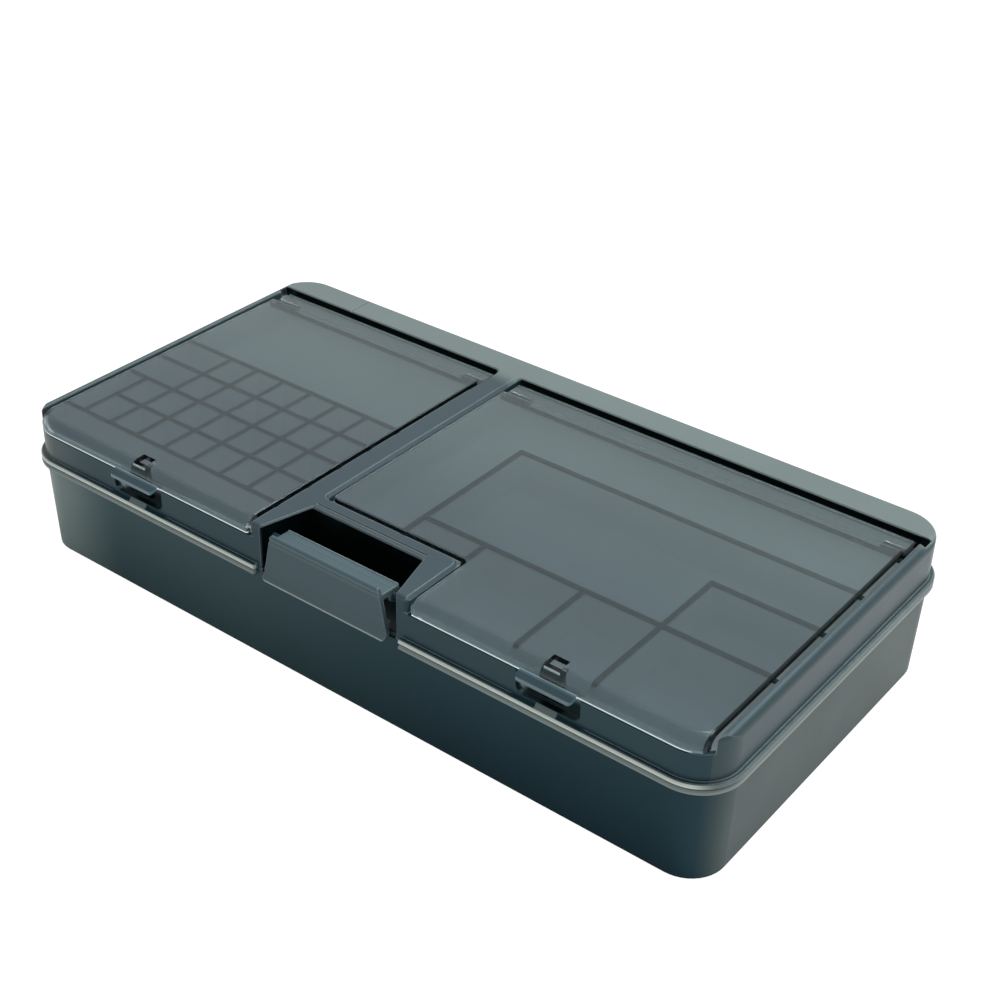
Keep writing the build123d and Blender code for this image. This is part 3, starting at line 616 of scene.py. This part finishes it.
# Painted highlights on the ramps below the catch windows and on the rim bead, with painted shade in the bead's
# seam
catch_ramp = smoke_tray.all_of(
    smoke_tray.below(from_tab, catch_ramp_half),
    smoke_tray.below(smoke_tray.y, catch_ramp_face, catch_ramp_face_fade),
    smoke_tray.above(smoke_tray.z, tray_bead_high),
)
tray_bead = smoke_tray.all_of(
    smoke_tray.below(smoke_tray.z, tray_bead_high),
    smoke_tray.above(tray_reach, bead_inside, soft),
    smoke_tray.below(tray_reach, bead_outside),
)
bead_right_side = smoke_tray.above(smoke_tray.x, bead_side_start, bead_side_spread)
bead_seam = smoke_tray.below(smoke_tray.z, seam_top)
bead_painted_light_and_shade = smoke_tray.layered(
    tray_bead_painted_highlight, [(bead_right_side, bead_side_painted_highlight), (bead_seam, painted_shade_tone)]
)
smoke_tray.tone(
    tray_tone,
    (tray_top, tray_top_painted_light),
    (tray_sides, tray_side_painted_light),
    (tray_left_corner, tray_corner_painted_light),
    (back_rim, back_rim_painted_light),
    (tray_edges, bright_painted_highlight),
    (tray_inside, inside_painted_light),
    (catch_ramp, edge_painted_highlight),
    (shaded, painted_shade_tone),
    (tray_bead, bead_painted_light_and_shade),
)
# Painted glow on the inside, left out where the painted shade lies
lit_inside = smoke_tray.all_of(tray_inside, smoke_tray.none_of(shaded))
smoke_tray.glow(unlit, (lit_inside, inside_painted_glow))

# Lids: frosted see-through sheet; painted shade on the cut sides, spring tongue and right border and towards the
# front, and a painted highlight glowing on the lower edge
frosted_lid = Plastic(
    "frosted_lid", roughness=0.18, flow=0.12, scuffs=0.05,
    grain_depth=0.02 * MM, specular=0.36, sheen=lid_sheen,
)
frosted_lid.shader.inputs["Transmission Weight"].default_value = lid_transmission
frosted_lid.shader.inputs["IOR"].default_value = lid_refraction
lid_front_half = frosted_lid.below(frosted_lid.y, lid_fade_middle, lid_fade_spread)
lid_uprights = frosted_lid.upright()
cut_sides = frosted_lid.all_of(
    lid_uprights, frosted_lid.above(frosted_lid.y, lid_front_end, soft)
)
from_tongue = frosted_lid.away(frosted_lid.reach(frosted_lid.x), lid_tab_place)
tongue = frosted_lid.all_of(
    frosted_lid.below(from_tongue, lid_tongue_half),
    frosted_lid.above(frosted_lid.y, lid_tongue_front),
    frosted_lid.below(frosted_lid.y, lid_front_end, soft),
    frosted_lid.any_of(lid_uprights, frosted_lid.below(frosted_lid.z, lid_sheet_low)),
)
right_border = frosted_lid.above(frosted_lid.x, lid_border_start, fine)
tabs = frosted_lid.below(frosted_lid.y, lid_tab_root)
lip = frosted_lid.all_of(
    frosted_lid.below(frosted_lid.z, lid_lip_top),
    frosted_lid.between(frosted_lid.y, lid_lip_front, lid_lip_back),
)
tab_edge = frosted_lid.below(frosted_lid.y, lid_tab_edge_back)
lit_edges = frosted_lid.any_of(lip, frosted_lid.weaker(tab_edge, lid_tab_edge_share))
frosted_lid.tone(
    lid_tone,
    (lid_front_half, lid_front_painted_shade),
    (frosted_lid.any_of(cut_sides, tongue, right_border), lid_side_painted_shade),
    (tabs, lid_tab_tone),
)
# Painted glow lifts the dark tabs; a painted highlight glows along the lip and the tab edges
frosted_lid.glow(unlit, (tabs, lid_tab_painted_glow), (lit_edges, lid_lip_painted_highlight))

# Clasp: satin smoke, with painted light making its pad and flare paler, and painted highlights on its edges and
# lower edge
smoke_clasp = Plastic(
    "smoke_clasp", roughness=0.30, flow=0.20, scuffs=0.08,
    grain_depth=0.03 * MM, specular=0.40, sheen=smoke_sheen,
)
clasp_crest = smoke_clasp.above(smoke_clasp.z, clasp_crest_low, blurred)
clasp_flare = smoke_clasp.below(smoke_clasp.z, clasp_flare_top, fine)
clasp_foot = smoke_clasp.below(smoke_clasp.z, clasp_foot_top, fine)
smoke_clasp.tone(
    clasp_tone,
    (clasp_crest, clasp_top_painted_light),
    (clasp_flare, clasp_flare_painted_light),
    (smoke_clasp.edges(clasp_edge_share), bright_painted_highlight),
    (clasp_foot, clasp_foot_painted_highlight),
)

# Dividers: the inside's pale painted light and painted glow, with a dark crest
divider = Plastic(
    "divider", roughness=0.42, flow=0.20, scuffs=0.08,
    grain_depth=0.03 * MM, specular=0.30, sheen=smoke_sheen,
)
divider_crest = divider.above(divider.z, divider_crest_low, divider_crest_fade)
divider.tone(inside_painted_light, (divider_crest, divider_tone))
divider.glow(inside_painted_glow, (divider_crest, unlit))

# Pins of the lids and the clasp, and steel pins of the rear hinges
plastic_pin = Plastic(
    "plastic_pin", roughness=0.35, flow=0.20, scuffs=0.10,
    grain_depth=0.02 * MM, specular=0.36, sheen=smoke_sheen,
)
plastic_pin.tone(tray_tone)
steel_pin = Plastic(
    "steel_pin", roughness=0.25, flow=0.10, scuffs=0.20,
    grain_depth=0.01 * MM, specular=0.50, sheen=steel_sheen,
)
steel_pin.tone(steel_tone)
steel_pin.shader.inputs["Metallic"].default_value = 1.0

# Every CAD node takes the finish of its material slot
finishes = {
    "smoke_bin": smoke_bin,
    "smoke_tray": smoke_tray,
    "frosted_lid": frosted_lid,
    "smoke_clasp": smoke_clasp,
    "divider": divider,
    "plastic_pin": plastic_pin,
    "steel_pin": steel_pin,
}
for entry in frame["record"]["subparts"]:
    mesh = frame["nodes"][entry["node"]].data
    mesh.materials.clear()
    mesh.materials.append(finishes[entry["material_slot"]].material)


def corner_skin(name, side):
    """A curved skin just under the tray's rounded back corner.

    It lies over the slit that the back rim's core leaves there.
    """
    outer = corner_radius - skin_setback
    inner = outer - skin_thickness
    axis = Vector((side * (box_end - corner_radius), -box_front - corner_radius, 0.0))
    spoke = Vector((side * math.cos(skin_start), math.sin(skin_start), 0.0))
    bottom = Vector((0.0, 0.0, tray_bead_top - skin_overlap))
    top = Vector((0.0, 0.0, box_top - skin_top_depth))
    mesh_builder = bmesh.new()
    corners = [axis + spoke * inner + bottom, axis + spoke * outer + bottom]
    corners += [axis + spoke * outer + top, axis + spoke * inner + top]
    section = mesh_builder.faces.new([mesh_builder.verts.new(corner) for corner in corners])
    bmesh.ops.spin(
        mesh_builder,
        geom=[section] + list(section.edges) + list(section.verts),
        cent=axis,
        axis=(0.0, 0.0, 1.0),
        angle=side * skin_sweep,
        steps=skin_steps,
    )
    bmesh.ops.recalc_face_normals(mesh_builder, faces=mesh_builder.faces)
    skin_mesh = bpy.data.meshes.new(name)
    mesh_builder.to_mesh(skin_mesh)
    mesh_builder.free()
    skin_mesh.materials.append(smoke_tray.material)
    skin = bpy.data.objects.new(name, skin_mesh)
    scene.collection.objects.link(skin)
    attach(skin, "tray")


corner_skin("tray_corner_skin_left", -1)
corner_skin("tray_corner_skin_right", 1)

# Studio: a pale floor that reads near white, an even pale surround and soft panels
floor_mesh = bpy.data.meshes.new("floor")
half = floor_size / 2
floor_corners = [(-half, -half, 0), (half, -half, 0), (half, half, 0), (-half, half, 0)]
floor_mesh.from_pydata(floor_corners, [], [(0, 1, 2, 3)])
floor = bpy.data.objects.new("floor", floor_mesh)
scene.collection.objects.link(floor)
floor_paint = bpy.data.materials.new("floor_paint")
floor_paint.use_nodes = True
floor_tree = floor_paint.node_tree
floor_shader = floor_tree.nodes["Principled BSDF"]
floor_shader.inputs["Base Color"].default_value = floor_tone
floor_shader.inputs["Roughness"].default_value = floor_roughness
floor_glow = floor_tree.nodes.new("ShaderNodeEmission")
floor_glow.inputs["Strength"].default_value = floor_glow_strength
floor_mix = floor_tree.nodes.new("ShaderNodeMixShader")
seen = floor_tree.nodes.new("ShaderNodeLightPath").outputs["Is Camera Ray"]
floor_surface = floor_tree.nodes["Material Output"].inputs["Surface"]
feed(floor_tree, floor_mix.inputs[0], math_node(floor_tree, "MULTIPLY", seen, floor_glow_share))
feed(floor_tree, floor_mix.inputs[1], floor_shader.outputs["BSDF"])
feed(floor_tree, floor_mix.inputs[2], floor_glow.outputs["Emission"])
feed(floor_tree, floor_surface, floor_mix.outputs["Shader"])
floor_mesh.materials.append(floor_paint)

world = bpy.data.worlds.new("studio")
world.use_nodes = True
scene.world = world
background = world.node_tree.nodes["Background"]
background.inputs["Color"].default_value = world_tone
background.inputs["Strength"].default_value = world_strength


def soft_light(name, direction, distance, size, power):
    """A square soft light at a distance from the object, facing it."""
    lamp = bpy.data.lights.new(name, "AREA")
    lamp.shape = "SQUARE"
    lamp.size = size
    lamp.energy = power
    holder = bpy.data.objects.new(name, lamp)
    spot = Vector(direction).normalized() * distance
    holder.location = spot + look_at
    holder.rotation_euler = spot.to_track_quat("Z", "Y").to_euler()
    holder.visible_camera = False
    scene.collection.objects.link(holder)


soft_light("back_left_panel", direction=(-0.50, 0.67, 0.55), distance=1.6, size=1.6, power=1.5)
soft_light("key_panel", direction=(0.30, 0.50, 0.95), distance=1.5, size=1.0, power=18.0)

# Camera
camera_data = bpy.data.cameras.new("camera")
camera_data.lens = camera_lens
camera_data.sensor_width = camera_sensor
camera_data.clip_start = camera_near
camera = bpy.data.objects.new("camera", camera_data)
level = math.cos(camera_elevation)
back = Vector((
    math.sin(camera_azimuth) * level,
    -math.cos(camera_azimuth) * level,
    math.sin(camera_elevation),
))
turn = back.to_track_quat("Z", "Y").to_matrix() @ Matrix.Rotation(camera_roll, 3, "Z")
camera_place = look_at + back * camera_distance
camera.matrix_world = Matrix.LocRotScale(camera_place, turn.to_quaternion(), None)
scene.collection.objects.link(camera)
scene.camera = camera
